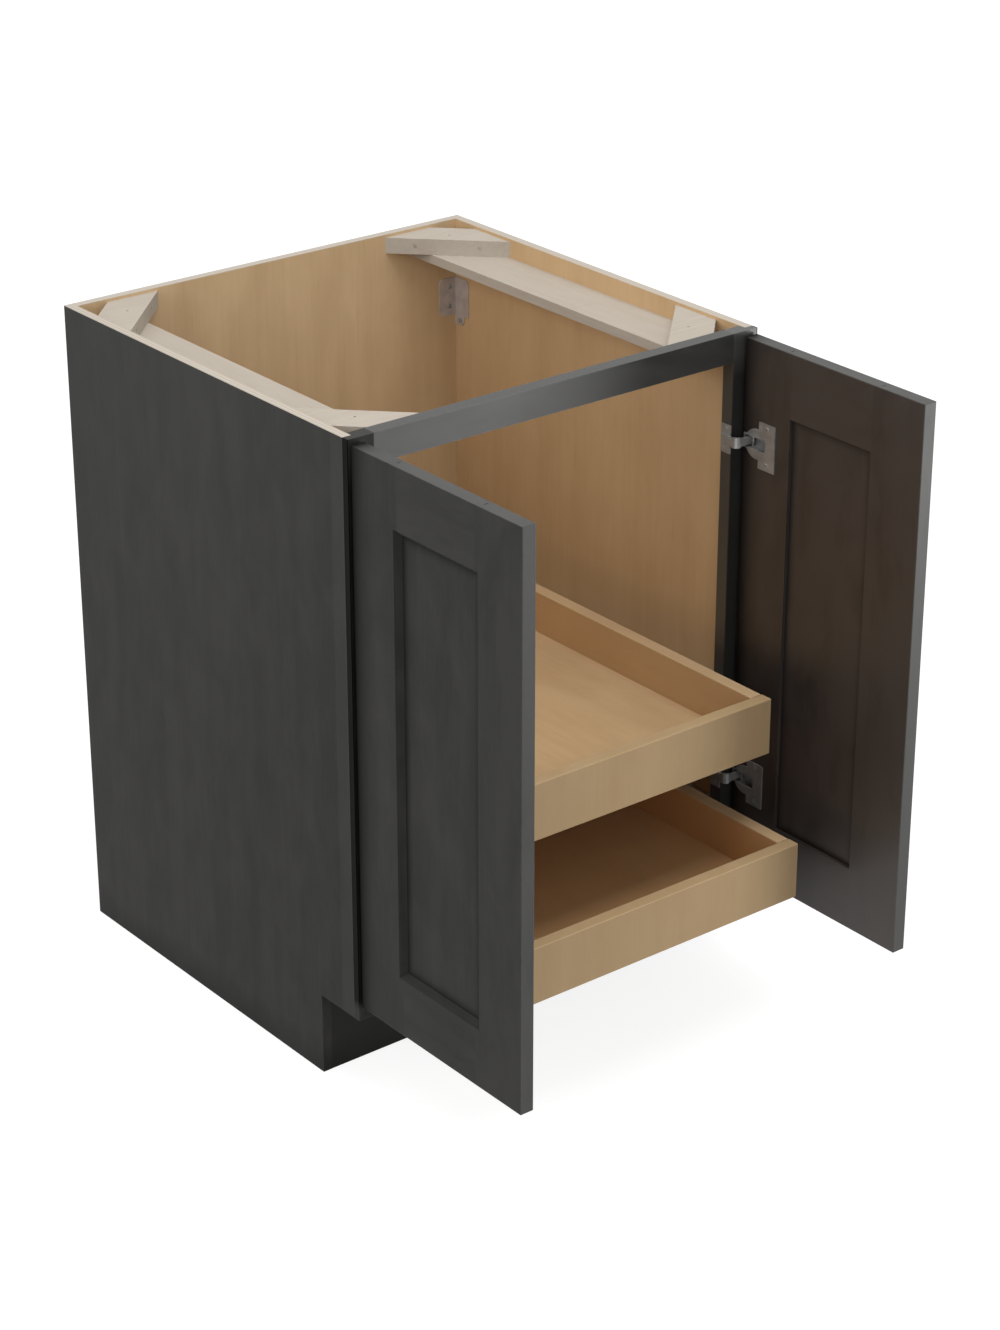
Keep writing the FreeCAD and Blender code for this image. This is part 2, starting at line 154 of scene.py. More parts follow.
def make_grain():
    """Wood grain along the vector's Z: uneven take-up of finish, broad figure, streaks and short pores."""
    tree, given, made = new_group(
        "wood grain",
        [
            ("Vector", "NodeSocketVector", (0, 0, 0)),
            ("Fineness", "NodeSocketFloat", 300.0),
            ("Stretch", "NodeSocketFloat", 30.0),
            ("Patchiness", "NodeSocketFloat", 16.0),
        ],
        ["Cloud", "Figure", "Streak", "Pores"],
    )
    patch_squash = (1.0, 1.0, 0.45)
    figure_share = 0.09
    pore_share = 3.2
    pore_span = (0.60, 0.72)
    shrink = maths(tree, "DIVIDE", 1.0, given["Stretch"])
    shrink = result(tree, "ShaderNodeCombineXYZ", {0: 1.0, 1: 1.0, 2: shrink})
    drawn = vector_maths(tree, "MULTIPLY", given["Vector"], shrink)
    patchy = vector_maths(tree, "MULTIPLY", given["Vector"], patch_squash)
    figure_scale = maths(tree, "MULTIPLY", given["Fineness"], figure_share)
    pore_scale = maths(tree, "MULTIPLY", given["Fineness"], pore_share)
    layers = {
        "Cloud": noise(tree, patchy, given["Patchiness"], detail=4.0, roughness=0.55, distortion=0.4),
        "Figure": noise(tree, drawn, figure_scale, distortion=0.7),
        "Streak": noise(tree, drawn, given["Fineness"], detail=4.0, roughness=0.6, distortion=0.2),
        "Pores": spread(tree, noise(tree, drawn, pore_scale, detail=2.0), *pore_span),
    }
    for label, layer in layers.items():
        tree.links.new(layer, made[label])
    return tree


def make_edge_mask():
    """One along the edges of a square-cut board between two corners, broken up by noise, else zero."""
    tree, given, made = new_group(
        "board edges",
        [
            ("Vector", "NodeSocketVector", (0, 0, 0)),
            ("Low", "NodeSocketVector", (0, 0, 0)),
            ("High", "NodeSocketVector", (1, 1, 1)),
            ("Width", "NodeSocketFloat", 0.002),
        ],
        ["Edge"],
    )
    edge_break_scale = 90.0
    edge_break_reach = (0.25, 1.4)
    from_low = vector_maths(tree, "SUBTRACT", given["Vector"], given["Low"])
    from_high = vector_maths(tree, "SUBTRACT", given["High"], given["Vector"])
    from_low = vector_maths(tree, "ABSOLUTE", from_low)
    from_high = vector_maths(tree, "ABSOLUTE", from_high)
    from_faces = vector_maths(tree, "MINIMUM", from_low, from_high)
    gaps = put(tree, "ShaderNodeSeparateXYZ", {0: from_faces}).outputs
    smaller = maths(tree, "MINIMUM", gaps[0], gaps[1])
    larger = maths(tree, "MAXIMUM", gaps[0], gaps[1])
    second = maths(tree, "MAXIMUM", smaller, maths(tree, "MINIMUM", larger, gaps[2]))
    edge_break = noise(tree, given["Vector"], edge_break_scale, detail=4.0, roughness=0.65)
    reach = maths(tree, "MULTIPLY", given["Width"], spread(tree, edge_break, *noise_span, *edge_break_reach))
    tree.links.new(maths(tree, "SUBTRACT", 1.0, spread(tree, second, 0.0, reach)), made["Edge"])
    return tree


grain_group = make_grain()
edge_group = make_edge_mask()


def new_material(name):
    material = bpy.data.materials.new(name)
    material.use_nodes = True
    material.node_tree.nodes.clear()
    return material, material.node_tree


def place_of(tree):
    return put(tree, "ShaderNodeTexCoord").outputs["Object"]


def along_grain(tree, axis, shift):
    """The piece's own coordinates, with the grain along Z, moved to another part of the log."""
    parts = put(tree, "ShaderNodeSeparateXYZ", {0: place_of(tree)}).outputs
    order = {"x": (1, 2, 0), "y": (2, 0, 1), "z": (0, 1, 2)}[axis]
    turned = result(tree, "ShaderNodeCombineXYZ", {i: parts[part] for i, part in enumerate(order)})
    return vector_maths(tree, "ADD", turned, shift)


def grain(tree, axis, shift, fineness, stretch, patchiness=16.0):
    """The outputs of the wood grain group for one board: cloud, figure, streak and pores."""
    inputs = {"Vector": along_grain(tree, axis, shift), "Fineness": fineness, "Stretch": stretch}
    inputs["Patchiness"] = patchiness
    return put(tree, "ShaderNodeGroup", inputs, node_tree=grain_group).outputs


def edges(tree, low, high, width):
    inputs = {"Vector": place_of(tree), "Low": low, "High": high, "Width": width}
    return result(tree, "ShaderNodeGroup", inputs, node_tree=edge_group)


def stain(tree, axis, shift, low, high, tone_shift=0.0):
    """Charcoal stain on grained wood with a painted highlight along outer edges: colour, roughness and
    height.
    """
    wood = grain(tree, axis, shift, fineness=250.0, stretch=24.0, patchiness=24.0)
    tone = weighted(tree, (wood["Cloud"], 0.60), (wood["Streak"], 0.14), (wood["Figure"], 0.26))
    paleness = spread(tree, tone, stain_span[0] - tone_shift, stain_span[1] - tone_shift)
    colour = blend(tree, paleness, charcoal_dark, charcoal_light)
    colour = blend(tree, maths(tree, "MULTIPLY", wood["Pores"], stain_pores), colour, charcoal_dark)
    # Painted highlight: the stain is made paler along the board's outer edges.
    edge_light = maths(tree, "MULTIPLY", edges(tree, low, high, edge_light_width), edge_light_share)
    colour = blend(tree, edge_light, colour, charcoal_pale)
    roughness = spread(tree, wood["Cloud"], *noise_span, *stain_roughness)
    height = weighted(tree, (wood["Streak"], 0.3), (wood["Pores"], -0.4))
    return colour, roughness, height


def clear_maple(tree, axis, shift, tone_shift=0.0, tint=maple_amber, share=0.0):
    """Maple under clear lacquer, which ages towards a tint: its colour, roughness and height."""
    wood = grain(tree, axis, shift, fineness=210.0, stretch=34.0)
    tone = weighted(tree, (wood["Cloud"], 0.45), (wood["Streak"], 0.17), (wood["Figure"], 0.38))
    paleness = spread(tree, tone, maple_span[0] - tone_shift, maple_span[1] - tone_shift)
    colour = blend(tree, paleness, maple_dark, maple_light)
    colour = blend(tree, share, colour, tint)
    colour = blend(tree, maths(tree, "MULTIPLY", wood["Pores"], maple_pores), colour, maple_fleck)
    roughness = spread(tree, wood["Figure"], *noise_span, *maple_roughness)
    height = weighted(tree, (wood["Streak"], 0.4), (wood["Pores"], -0.5))
    return colour, roughness, height


def choose(tree, share, first, second):
    """Mixes two finishes, each a colour, a roughness and a height."""
    mixed = [blend(tree, share, first[0], second[0])]
    for one, other in zip(first[1:], second[1:]):
        mixed.append(result(tree, "ShaderNodeMix", {"Factor": share, "A": one, "B": other}))
    return mixed


def surface(tree, finish, depth, gloss=0.15, dull=None, dulled_gloss=0.0):
    """Ends a material in one shader with bumps of that depth, and another gloss where a mask is one."""
    colour, roughness, height = finish
    bump = result(tree, "ShaderNodeBump", {"Strength": bump_strength, "Distance": depth, "Height": height})
    inputs = {"Base Color": colour, "Roughness": roughness, "Normal": bump, "Specular IOR Level": gloss}
    shader = put(tree, "ShaderNodeBsdfPrincipled", inputs)
    if dull is not None:
        dulled = spread(tree, dull, 0.0, 1.0, gloss, dulled_gloss)
        tree.links.new(dulled, shader.inputs["Specular IOR Level"])
    put(tree, "ShaderNodeOutputMaterial", {"Surface": shader.outputs[0]})
    return shader


def dress(name, material):
    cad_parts[name].material_slots[0].material = material


def ease(name, width):
    """Takes the sharpness off the edges of a board that was drawn square."""
    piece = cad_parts[name]
    weld = piece.modifiers.new("weld", "WELD")
    weld.merge_threshold = weld_gap
    bevel = piece.modifiers.new("eased edges", "BEVEL")
    bevel.width = width
    bevel.segments = 2
    bevel.limit_method = "ANGLE"
    bevel.angle_limit = sharp_edge
    bevel.harden_normals = True


def bare_plies(tree, across):
    """Bare plywood edge, pale and brown plies across the sheet: its colour, roughness and height."""
    layer = maths(tree, "FRACT", maths(tree, "DIVIDE", across, ply_thickness * 2))
    speckle = noise(tree, place_of(tree), ply_speckle_scale, detail=4.0, roughness=0.6)
    brownness = weighted(tree, (spread(tree, layer, *glue_line), 0.8), (speckle, 0.7))
    colour = blend(tree, spread(tree, brownness, *ply_brown_span), ply_pale, ply_brown)
    return colour, ply_roughness, speckle


def floor_contact_shade(tree, z):
    """Painted shade near the floor, darkest at the floor and broken at its upper edge."""
    contact_noise = noise(tree, place_of(tree), contact_shade_noise_scale, detail=4.0, roughness=0.6)
    lift = spread(tree, contact_noise, *noise_span, -contact_shade_raggedness, contact_shade_raggedness)
    return spread(tree, maths(tree, "ADD", z, lift), 0.0, contact_shade_height, contact_shade_share, 0.0)


def past(tree, value, limit):
    return maths(tree, "GREATER_THAN", value, limit)


stain_bump = 0.0003
stain_gloss = 0.08
maple_bump = 0.0003
lining_amber = 0.22
lining_tone = -0.02
side_tone = -0.01
# Painted light making the sides' outer faces paler towards the top
top_light_from = 0.4
top_light_share = 0.14
side_easing = 0.0005
floor_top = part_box("floor_panel")[1].z
for side, shift in (("left", (3.1, 1.7, 0.4)), ("right", (8.2, 5.3, 2.6))):
    low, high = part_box(side + "_side_panel")
    lining_depth = min(abs(low.x), abs(high.x)) + veneer_depth
    material, tree = new_material(side + " side panel")
    x, y, z = put(tree, "ShaderNodeSeparateXYZ", {0: place_of(tree)}).outputs
    from_middle = maths(tree, "ABSOLUTE", x)
    bare_top = past(tree, z, high.z - veneer_depth)
    bare = maths(tree, "MAXIMUM", bare_top, past(tree, y, high.y - veneer_depth))
    stained = list(stain(tree, "z", shift, low, high, side_tone))
    planed = maths(tree, "MULTIPLY", maths(tree, "LESS_THAN", y, low.y + flush_strip), planed_share)
    stained[0] = blend(tree, planed, stained[0], charcoal_pale)
    # Painted light: the outer face is made paler towards the top.
    top_light = spread(tree, z, top_light_from, high.z, 0.0, top_light_share)
    stained[0] = blend(tree, top_light, stained[0], charcoal_pale)
    # Painted shade: the outer face darkens to near black towards the floor.
    stained[0] = blend(tree, floor_contact_shade(tree, z), stained[0], shade_black)
    finish = choose(tree, bare, stained, bare_plies(tree, from_middle))
    inner_face = maths(tree, "LESS_THAN", from_middle, lining_depth)
    lined = maths(tree, "MULTIPLY", inner_face, past(tree, z, floor_top))
    lining = clear_maple(tree, "z", shift, lining_tone, maple_amber, lining_amber)
    finish = choose(tree, lined, finish, lining)
    surface(tree, finish, stain_bump, stain_gloss)
    dress(side + "_side_panel", material)
    ease(side + "_side_panel", side_easing)

# Back panel and cabinet floor
# Both are maple plywood, lacquered on the face that shows inside. The back stands between the sides
# and the floor rests on the toe board and against the face frame.

inside_easing = 0.0004
# The axis of each board's grain, its place in the log and the shift of its tone
inside_boards = {
    "back_panel": ("z", (1.3, 7.9, 3.3), 0.07),
    "floor_panel": ("x", (4.4, 2.2, 9.1), 0.0),
}
for name, (axis, shift, tone_shift) in inside_boards.items():
    material, tree = new_material(name.replace("_", " "))
    finish = clear_maple(tree, axis, shift, tone_shift)
    if name == "back_panel":
        place = put(tree, "ShaderNodeSeparateXYZ", {0: place_of(tree)}).outputs
        bare = past(tree, place["Z"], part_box(name)[1].z - veneer_depth)
        finish = choose(tree, bare, finish, bare_plies(tree, place["Y"]))
    surface(tree, finish, maple_bump)
    dress(name, material)
    ease(name, inside_easing)

# Toe board and face frame
# The toe board closes the space under the floor; its much darker tone is painted shade for that recess. The
# frame's stiles and rails are hardwood, joined edge to end and stained, with painted shade darkening them
# towards the floor. The stiles have painted shade, near black and less glossy, on their outer edges and
# their fronts from the doors' feet up to the top rail, and the top rail and the right stile have kept more
# gloss than the rest.

frame_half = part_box("right_stile")[1].x
stile_shade_band = 0.0012
front_shade_share = 0.6
shaded_gloss = 0.03
frame_easing = 0.0006
rail_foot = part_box("top_rail")[0].z
door_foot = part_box("right_door_hinge_stile")[0].z
front_shade_fade = (rail_foot - 0.02, rail_foot + 0.01)
foot_fade = (door_foot - 0.004, door_foot + 0.008)
# The axis of each board's grain, its place in the log, the shift of its tone and its gloss
frame_boards = {
    # The toe board's much darker tone is painted shade for its recess
    "toe_board": ("x", (2.5, 6.6, 1.8), -0.32, 0.07),
    "left_stile": ("z", (5.5, 0.6, 7.7), 0.0, stain_gloss),
    "right_stile": ("z", (9.4, 3.1, 4.2), 0.17, 0.8),
    "top_rail": ("x", (0.7, 8.8, 6.3), 0.02, 0.55),
    "bottom_rail": ("x", (7.2, 4.9, 0.9), 0.0, stain_gloss),
}
for name, (axis, shift, tone_shift, gloss) in frame_boards.items():
    low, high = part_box(name)
    material, tree = new_material(name.replace("_", " "))
    x, y, z = put(tree, "ShaderNodeSeparateXYZ", {0: place_of(tree)}).outputs
    colour, roughness, height = stain(tree, axis, shift, low, high, tone_shift)
    # Painted shade towards the floor, as on the sides.
    shaded = floor_contact_shade(tree, z)
    stile_shade = None
    # Painted shade: the stiles' outer edges and fronts beside the doors are darkened to near black and made
    # less glossy.
    if name.endswith("stile"):
        outer_edge = past(tree, maths(tree, "ABSOLUTE", x), frame_half - stile_shade_band)
        face = maths(tree, "LESS_THAN", y, low.y + stile_shade_band)
        front_shade = spread(tree, z, *front_shade_fade, front_shade_share, 0.0)
        stile_shade = maths(tree, "MAXIMUM", outer_edge, maths(tree, "MULTIPLY", face, front_shade))
        stile_shade = maths(tree, "MULTIPLY", stile_shade, spread(tree, z, *foot_fade))
        shaded = maths(tree, "MAXIMUM", stile_shade, shaded)
    colour = blend(tree, shaded, colour, shade_black)
    surface(tree, (colour, roughness, height), stain_bump, gloss, stile_shade, shaded_gloss)
    dress(name, material)
    ease(name, frame_easing)

# Bracing rails, corner blocks and nails
# Bare sawn softwood under the open top: a flat rail along each side, and a block across each corner
# to which the worktop is screwed. Two steel nails are driven below the long face of each block.

sawn_pale = (0.470, 0.425, 0.365, 1)
sawn_dark = (0.392, 0.340, 0.280, 1)
sawn_fleck = (0.33, 0.27, 0.21, 1)
sawn_roughness = (0.68, 0.85)
sawn_pores = 0.3
sawn_bump = 0.0006
sawn_gloss = 0.15
plating_bump = 0.00006
plating_dullness = 0.8
mottle_scale = 70.0
mottle_span = (0.35, 0.65)
mottle_roughness = 0.12
scuff_scale = 700.0
scuff_roughness = 0.08


def bare_wood(name, axis, shift):
    material, tree = new_material(name)
    wood = grain(tree, axis, shift, fineness=150.0, stretch=22.0)
    tone = weighted(tree, (wood["Cloud"], 0.25), (wood["Streak"], 0.35), (wood["Figure"], 0.40))
    colour = blend(tree, spread(tree, tone, *noise_span), sawn_dark, sawn_pale)
    colour = blend(tree, maths(tree, "MULTIPLY", wood["Pores"], sawn_pores), colour, sawn_fleck)
    roughness = spread(tree, wood["Streak"], *noise_span, *sawn_roughness)
    height = weighted(tree, (wood["Streak"], 1.0), (wood["Pores"], -1.0))
    surface(tree, (colour, roughness, height), sawn_bump, sawn_gloss)
    return material


# The axis of each piece's grain and its place in the log
bracing = {"side_rail": ("y", 0.4), "front_block": ("x", 3.7), "back_block": ("x", 6.1)}
for part, (axis, start) in bracing.items():
    for side, offset in (("left", 1.2), ("right", 2.9)):
        name = side + "_" + part
        dress(name, bare_wood(name.replace("_", " "), axis, (start, offset, start + offset)))


def plated(name, colour, roughness, metallic=1.0):
    """Plated steel: slightly mottled, with the marks of handling."""
    material, tree = new_material(name)
    place = place_of(tree)
    mottle = noise(tree, place, mottle_scale)
    scuff = noise(tree, place, scuff_scale, roughness=0.7)
    dull = tuple(part * plating_dullness for part in colour[:3]) + (1,)
    shade = blend(tree, spread(tree, mottle, *mottle_span), dull, colour)
    average = (mottle_roughness + scuff_roughness) / 2
    rough = weighted(tree, (mottle, mottle_roughness), (scuff, scuff_roughness), (1.0, roughness - average))
    shader = surface(tree, (shade, rough, scuff), plating_bump)
    shader.inputs["Metallic"].default_value = metallic
    return material


dress("block_nails", plated("nail steel", (0.46, 0.43, 0.39, 1), 0.5, 0.6))

# Corner brackets and their screws
# A pressed steel angle in each back corner, under the blocks, with a tail bent down the side. It is held
# by two screws into the back and one into the side. The screws are pan heads with a cross recess.

dull_steel = plated("dull screw steel", (0.34, 0.33, 0.32, 1), 0.85, 0.2)
dress("corner_brackets", plated("galvanised sheet", (0.55, 0.49, 0.455, 1), 0.55, 0.3))
bracket_easing = 0.0003
ease("corner_brackets", bracket_easing)

screw_head_radius = 0.0035
screw_head_height = 0.0018
screw_shank_radius = 0.00175
screw_tip_radius = 0.0002
screw_point = 0.003
screw_length = 0.011
# The head's outline from its edge to its flat, in shares of its radius and height
screw_head_profile = ((1.0, 0.35), (0.92, 0.70), (0.78, 0.92), (0.62, 1.0))
recess_reach = 0.0017
recess_half_width = 0.0004
recess_depth = 0.0012
recess_taper = 0.55
round_steps = 24
past_shank = 0.003
steps_per_metre = 1e6
full_turn = 2 * math.pi


def circle(mesh, middle, radius):
    """A ring of corners round an upright axis."""
    ring = []
    for step in range(round_steps):
        angle = full_turn * step / round_steps
        spoke = Vector((radius * math.cos(angle), radius * math.sin(angle), 0))
        ring.append(mesh.verts.new(middle + spoke))
    return ring


def screw_template(head_height):
    """A cross-recess screw whose head stands on z = 0, with its shank below."""
    mesh = bmesh.new()
    outline = [
        (screw_tip_radius, -screw_length),
        (screw_shank_radius, screw_point - screw_length),
        (screw_shank_radius, 0.0),
        (screw_head_radius, 0.0),
    ]
    outline += [(wide * screw_head_radius, tall * head_height) for wide, tall in screw_head_profile]
    rings = [circle(mesh, Vector((0, 0, height)), radius) for radius, height in outline]
    for lower, upper in zip(rings, rings[1:]):
        for k in range(round_steps):
            mesh.faces.new((lower[k - 1], lower[k], upper[k], upper[k - 1]))
    mesh.faces.new(list(reversed(rings[0])))
    arm = [(recess_reach, -recess_half_width), (recess_reach, recess_half_width)]
    arm.append((recess_half_width, recess_half_width))
    cross = []
    for quarter in range(4):
        turn = Matrix.Rotation(quarter * math.pi / 2, 3, "Z")
        cross += [turn @ Vector((x, y, 0)) for x, y in arm]
    rim = [mesh.verts.new(point + Vector((0, 0, head_height))) for point in cross]
    floor_height = Vector((0, 0, head_height - recess_depth))
    well = [mesh.verts.new(point * recess_taper + floor_height) for point in cross]
    for k in range(len(rim)):
        mesh.faces.new((rim[k - 1], well[k - 1], well[k], rim[k]))
    mesh.faces.new(well)
    border = [mesh.edges.get((rings[-1][k - 1], rings[-1][k])) for k in range(round_steps)]
    border += [mesh.edges.get((rim[k - 1], rim[k])) for k in range(len(rim))]
    bmesh.ops.triangle_fill(mesh, edges=border, use_beauty=True, normal=(0, 0, 1))
    bmesh.ops.recalc_face_normals(mesh, faces=mesh.faces)
    data = bpy.data.meshes.new("screw template")
    mesh.to_mesh(data)
    mesh.free()
    return bpy.data.objects.new("screw_template", data)


def make_fastener_tree():
    """Sets a fastener on every point, along the point's own direction and turned at random."""
    tree = bpy.data.node_groups.new("driven fasteners", "GeometryNodeTree")
    sockets = [("Geometry", "Geometry"), ("Fastener", "Object"), ("Finish", "Material"), ("Seed", "Int")]
    for label, kind in sockets:
        tree.interface.new_socket(label, in_out="INPUT", socket_type="NodeSocket" + kind)
    tree.interface.new_socket("Geometry", in_out="OUTPUT", socket_type="NodeSocketGeometry")
    given = put(tree, "NodeGroupInput").outputs
    shape = put(tree, "GeometryNodeObjectInfo", {"Object": given["Fastener"]}).outputs["Geometry"]
    facing = result(tree, "GeometryNodeInputNamedAttribute", {"Name": "facing"}, data_type="FLOAT_VECTOR")
    upright = result(tree, "FunctionNodeAlignRotationToVector", {"Vector": facing}, axis="Z")
    inputs = {"Max": full_turn, "Seed": given["Seed"]}
    angle = result(tree, "FunctionNodeRandomValue", inputs, data_type="FLOAT")
    spin = result(tree, "FunctionNodeAxisAngleToRotation", {"Axis": (0, 0, 1), "Angle": angle})
    turned = result(tree, "FunctionNodeRotateRotation", {0: upright, 1: spin}, rotation_space="LOCAL")
    inputs = {"Points": given["Geometry"], "Instance": shape, "Rotation": turned}
    placed = result(tree, "GeometryNodeInstanceOnPoints", inputs)
    joined = result(tree, "GeometryNodeRealizeInstances", {"Geometry": placed})
    coated = result(tree, "GeometryNodeSetMaterial", {"Geometry": joined, "Material": given["Finish"]})
    put(tree, "NodeGroupOutput", {"Geometry": coated})
    return tree


def solids_of(name):
    """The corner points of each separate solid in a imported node."""
    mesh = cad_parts[name].data
    spots = {}
    group_of = []
    for vertex in mesh.vertices:
        key = tuple(round(part * steps_per_metre) for part in vertex.co)
        group_of.append(spots.setdefault(key, len(spots)))
    leader = list(range(len(spots)))

    def find(one):
        while leader[one] != one:
            one = leader[one]
        return one

    for face in mesh.polygons:
        corners = [find(group_of[index]) for index in face.vertices]
        for corner in corners:
            leader[corner] = min(corners)
    solids = {}
    for vertex, group in zip(mesh.vertices, group_of):
        solids.setdefault(find(group), []).append(vertex.co.copy())
    return list(solids.values())


def middle_of(points):
    low = Vector(min(point[axis] for point in points) for axis in range(3))
    high = Vector(max(point[axis] for point in points) for axis in range(3))
    return (low + high) / 2, high - low


def screw_seats(name):
    """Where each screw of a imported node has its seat, and the way that its head faces."""
    seats = []
    for points in solids_of(name):
        middle, size = middle_of(points)
        axis = max(range(3), key=lambda k: size[k])
        spokes = [point - middle for point in points]
        wide = [spoke for spoke in spokes if spoke.length_squared - spoke[axis] ** 2 > past_shank ** 2]
        facing = Vector((0, 0, 0))
        facing[axis] = math.copysign(1.0, sum(spoke[axis] for spoke in wide))
        seat = middle + facing * (size[axis] / 2 - screw_head_height)
        seats.append((seat, facing))
    return seats


pan_screw = screw_template(screw_head_height)
fastener_tree = make_fastener_tree()


def add_piece(name, data, body, nodes=()):
    """Puts a mesh in the scene as a piece that moves with a body."""
    piece = bpy.data.objects.new(name, data)
    bpy.context.scene.collection.objects.link(piece)
    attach(piece, body)
    if nodes:
        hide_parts(*nodes)


def drive_screws(name, node, screw, finish, seed, body):
    """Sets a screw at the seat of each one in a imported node, as one mesh on one body."""
    seats = screw_seats(node)
    points = bpy.data.meshes.new(name + " seats")
    points.from_pydata([seat for seat, facing in seats], [], [])
    heading = points.attributes.new("facing", "FLOAT_VECTOR", "POINT")
    for entry, (seat, facing) in zip(heading.data, seats):
        entry.vector = facing
    holder = bpy.data.objects.new(name + " seats", points)
    bpy.context.scene.collection.objects.link(holder)
    modifier = holder.modifiers.new("fasteners", "NODES")
    modifier.node_group = fastener_tree
    for label, chosen in (("Fastener", screw), ("Finish", finish), ("Seed", seed)):
        modifier[fastener_tree.interface.items_tree[label].identifier] = chosen
    seen_with = bpy.context.evaluated_depsgraph_get()
    data = bpy.data.meshes.new_from_object(holder.evaluated_get(seen_with), depsgraph=seen_with)
    bpy.data.objects.remove(holder)
    add_piece(name, data, body, [node])


drive_screws("cross_recess_bracket_screws", "bracket_screws", pan_screw, dull_steel, 11, "carcase")

# Doors
# Each door is a frame of stiles and rails round a thin flat panel, with a sloping edge round the
# panel in front and a square one behind, stained charcoal all over. Painted shade darkens the hinge edge
# and the border round the panel.
# The fronts are finished to a low sheen, and the backs have one thinner and glossier coat, tinted warm by
# painted bounce light from the maple.

# The axis of each board's grain, its place in the log and the shift of its tone
door_boards = {
    "door_hinge_stile": ("z", 0.4, -0.05),
    "door_meeting_stile": ("z", 2.3, 0.04),
    "door_top_rail": ("y", 4.1, 0.05),
    "door_bottom_rail": ("y", 5.9, 0.01),
    "door_panel": ("z", 7.4, -0.01),
}
hinge_edge_shade = (0.052, 0.92)
door_shade_gloss = 0.02
door_front_gloss = 0.10
door_back_gloss = 0.60
door_edge_gloss = 0.42
panel_border_shade = (0.016, 0.7)
bounce_warmth = (1.14, 0.90, 0.86, 1)
back_fade = 0.001
outer_edge_depth = 0.0005


def edge_shade(tree, distance, reach, most):
    """The share of painted shade near an edge or corner, fading out over the reach."""
    near = spread(tree, distance, 0.0, reach, 1.0, 0.0)
    return maths(tree, "MULTIPLY", maths(tree, "MULTIPLY", near, near), most)


def nearest(tree, *distances):
    least = distances[0]
    for distance in distances[1:]:
        least = maths(tree, "MINIMUM", least, distance)
    return least


# The right door's tone is lifted lighter than the left's, painted light standing in for light on its shaded
# inner face.
for side, offset, lift in (("left", 0.0, 0.0), ("right", 11.0, 0.11)):
    boxes = [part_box(side + "_" + part) for part in door_boards]
    low = Vector(min(box[0][axis] for box in boxes) for axis in range(3))
    high = Vector(max(box[1][axis] for box in boxes) for axis in range(3))
    mid_thickness = abs(low.x + high.x) / 2
    for part, (axis, start, tone_shift) in door_boards.items():
        name = side + "_" + part
        material, tree = new_material(name.replace("_", " "))
        shift = (offset + start, start, offset)
        x, y, z = put(tree, "ShaderNodeSeparateXYZ", {0: place_of(tree)}).outputs
        colour, roughness, height = stain(tree, axis, shift, low, high, tone_shift + lift)
        from_edges = nearest(
            tree,
            maths(tree, "SUBTRACT", y, low.y),
            maths(tree, "SUBTRACT", high.y, y),
            maths(tree, "SUBTRACT", z, low.z),
            maths(tree, "SUBTRACT", high.z, z),
        )
        depth = maths(tree, "ABSOLUTE", x)
        back = spread(tree, depth, mid_thickness - back_fade, mid_thickness + back_fade, 1.0, 0.0)
        inward = past(tree, from_edges, outer_edge_depth)
        gloss = spread(tree, back, 0.0, 1.0, door_front_gloss, door_back_gloss)
        gloss = spread(tree, inward, 0.0, 1.0, door_edge_gloss, gloss)
        back = maths(tree, "MULTIPLY", back, inward)
        # Painted warm bounce light from the maple inside, tinting the door backs.
        colour = blend(tree, back, colour, bounce_warmth, "MULTIPLY")
        door_shade = None
        # Painted shade: darker and less glossy near the hinge edge and round the panel's border.
        if part == "door_hinge_stile":
            door_shade = edge_shade(tree, maths(tree, "SUBTRACT", high.y, y), *hinge_edge_shade)
        elif part == "door_panel":
            from_border = nearest(
                tree,
                maths(tree, "SUBTRACT", y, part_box(side + "_door_meeting_stile")[1].y),
                maths(tree, "SUBTRACT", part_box(side + "_door_hinge_stile")[0].y, y),
                maths(tree, "SUBTRACT", z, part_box(side + "_door_bottom_rail")[1].z),
                maths(tree, "SUBTRACT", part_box(side + "_door_top_rail")[0].z, z),
            )
            door_shade = edge_shade(tree, from_border, *panel_border_shade)
        if door_shade is not None:
            colour = blend(tree, door_shade, colour, shade_black)
        surface(tree, (colour, roughness, height), stain_bump, gloss, door_shade, door_shade_gloss)
        dress(name, material)

# Hinges
# Face-frame cup hinges, pressed from nickel-plated steel: an arm screwed to the edge of the stile, a pin,
# and a cup with a flange that is let into the back of the door. Low flat-headed screws, plated as the
# hinge is, hold both.

nickel = plated("dull nickel plate", (0.37, 0.37, 0.365, 1), 0.42, 0.65)
bright_steel = plated("bright screw steel", (0.72, 0.71, 0.69, 1), 0.28)
cup_radius = 0.0174
cup_inset = 0.027
arm_slot_half = 0.0078
lid_thickness = 0.0015
lid_steps = 20
pressed_round = 0.0004
flat_head_height = 0.0005
flat_screw = screw_template(flat_head_height)


def pressing(mesh, name, sharp):
    """Turns a drawn shape's faces outwards, rounds the edges sharper than an angle, and plates it."""
    bmesh.ops.recalc_face_normals(mesh, faces=mesh.faces)
    rims = [edge for edge in mesh.edges if edge.calc_face_angle() > sharp]
    bmesh.ops.bevel(mesh, geom=rims, offset=pressed_round, segments=2, affect="EDGES")
    data = bpy.data.meshes.new(name)
    mesh.to_mesh(data)
    mesh.free()
    data.materials.append(nickel)
    return data


def outward_of(side):
    return 1.0 if side == "right" else -1.0


